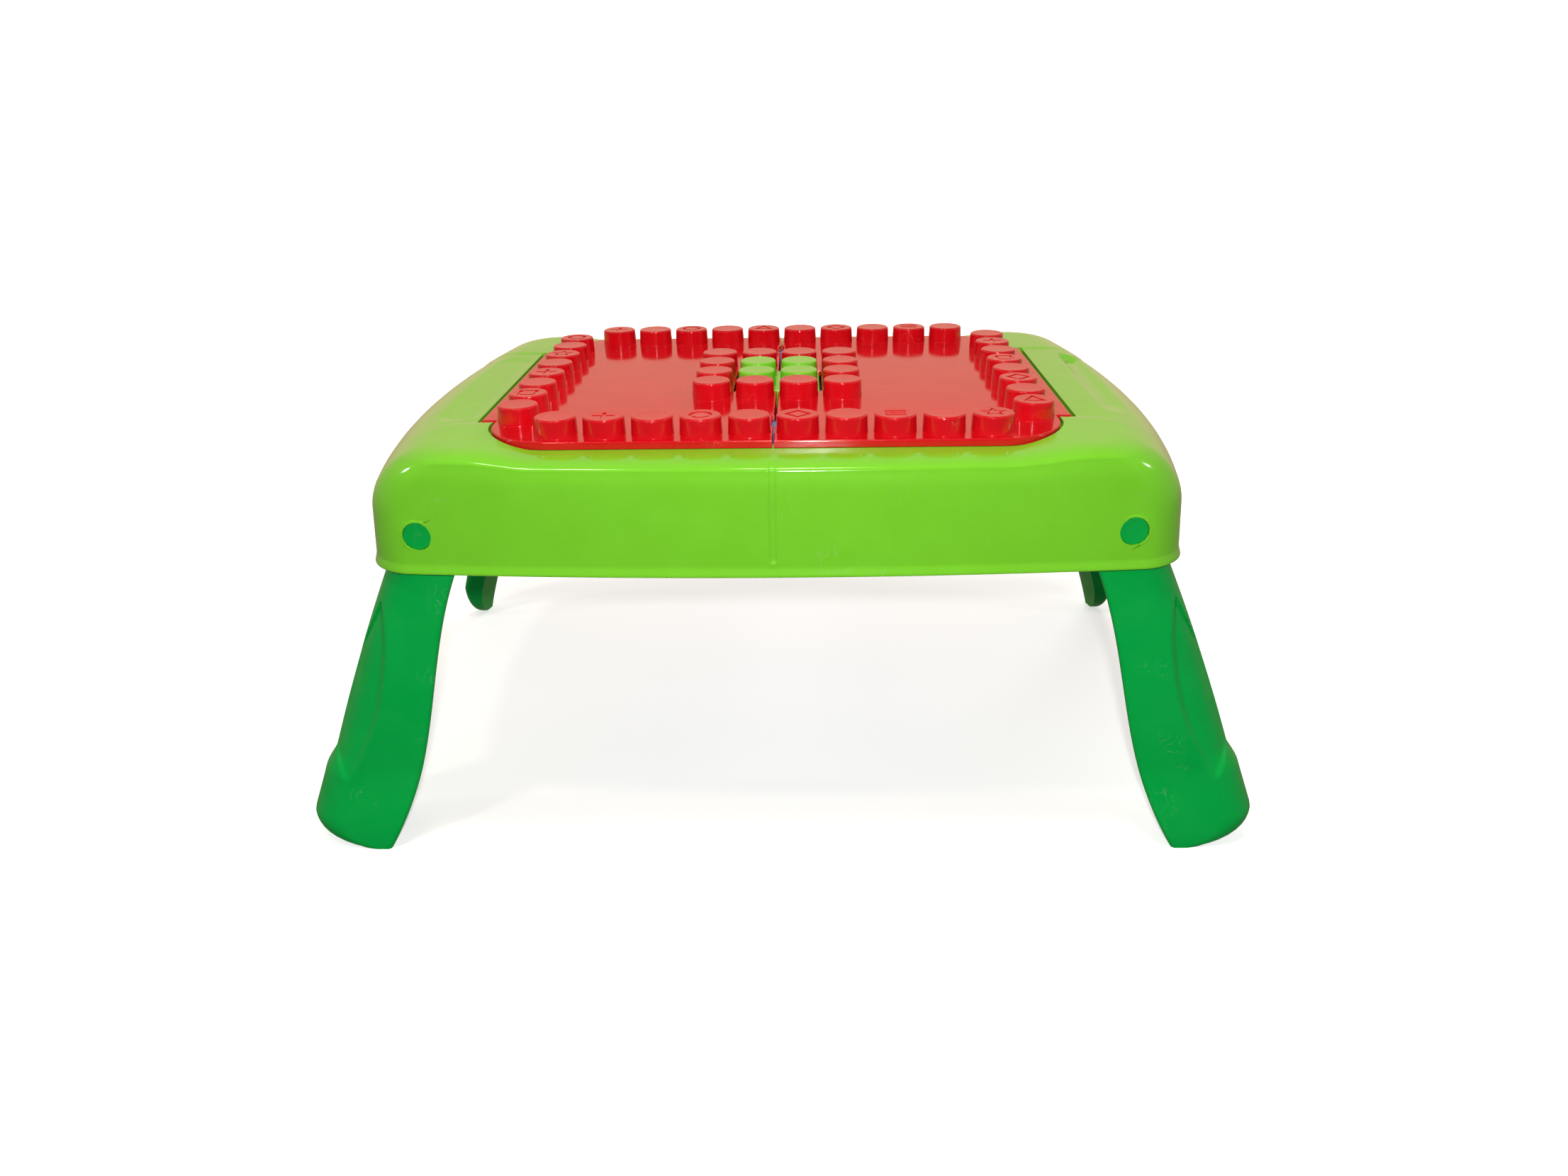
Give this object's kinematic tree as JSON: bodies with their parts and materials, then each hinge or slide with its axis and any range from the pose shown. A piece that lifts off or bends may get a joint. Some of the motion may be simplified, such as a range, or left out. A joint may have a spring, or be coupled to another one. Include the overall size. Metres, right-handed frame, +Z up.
{
  "type": "building-block play table",
  "caption": "Low toddler's play table: bowed frame, flip-open studded lids over a storage tray, lift-off centre block and splayed fold-in legs.",
  "frame": {"origin": "on the floor under the middle of the table", "axes": "+X to the right along the table's length, +Y from the front apron to the back, +Z up"},
  "size_m": [0.6734, 0.416, 0.296],
  "materials": {
    "lime_plastic": "gloss",
    "emerald_plastic": "gloss",
    "pivot_plastic": "satin",
    "red_plastic": "gloss",
    "blue_plastic": "gloss",
    "steel": "zinc plated"
  },
  "bodies": {
    "frame": {"frame_shell": "lime_plastic", "storage_tray": "blue_plastic", "front_left_bracket": "lime_plastic", "front_right_bracket": "lime_plastic", "rear_left_bracket": "lime_plastic", "rear_right_bracket": "lime_plastic", "bracket_screws": "steel", "tray_screws": "steel"},
    "left_lid": {"left_lid": "red_plastic", "left_hinge_pins": "steel"},
    "right_lid": {"right_lid": "red_plastic", "right_hinge_pins": "steel"},
    "centre_block": {"centre_block": "lime_plastic"},
    "front_left_leg": {"front_left_leg": "emerald_plastic", "front_left_pivot": "pivot_plastic"},
    "front_right_leg": {"front_right_leg": "emerald_plastic", "front_right_pivot": "pivot_plastic"},
    "rear_left_leg": {"rear_left_leg": "emerald_plastic", "rear_left_pivot": "pivot_plastic"},
    "rear_right_leg": {"rear_right_leg": "emerald_plastic", "rear_right_pivot": "pivot_plastic"}
  },
  "joints": [
    {"name": "left_lid_hinge", "type": "hinge", "parent": "frame", "child": "left_lid", "pos_m": [-0.2015, 0, 0.281], "axis": [0, -1, 0], "range_deg": [0, 110]},
    {"name": "right_lid_hinge", "type": "hinge", "parent": "frame", "child": "right_lid", "pos_m": [0.2015, 0, 0.281], "axis": [0, 1, 0], "range_deg": [0, 110]},
    {"name": "centre_block_lift", "type": "slide", "parent": "frame", "child": "centre_block", "axis": [0, 0, 1], "range_m": [0, 0.03]},
    {"name": "front_left_leg_fold", "type": "hinge", "parent": "frame", "child": "front_left_leg", "pos_m": [-0.23, -0.168, 0.23], "axis": [0, -1, 0], "range_deg": [0, 86]},
    {"name": "front_right_leg_fold", "type": "hinge", "parent": "frame", "child": "front_right_leg", "pos_m": [0.23, -0.168, 0.23], "axis": [0, 1, 0], "range_deg": [0, 86]},
    {"name": "rear_left_leg_fold", "type": "hinge", "parent": "frame", "child": "rear_left_leg", "pos_m": [-0.23, 0.168, 0.23], "axis": [0, -1, 0], "range_deg": [0, 86]},
    {"name": "rear_right_leg_fold", "type": "hinge", "parent": "frame", "child": "rear_right_leg", "pos_m": [0.23, 0.168, 0.23], "axis": [0, 1, 0], "range_deg": [0, 86]}
  ]
}
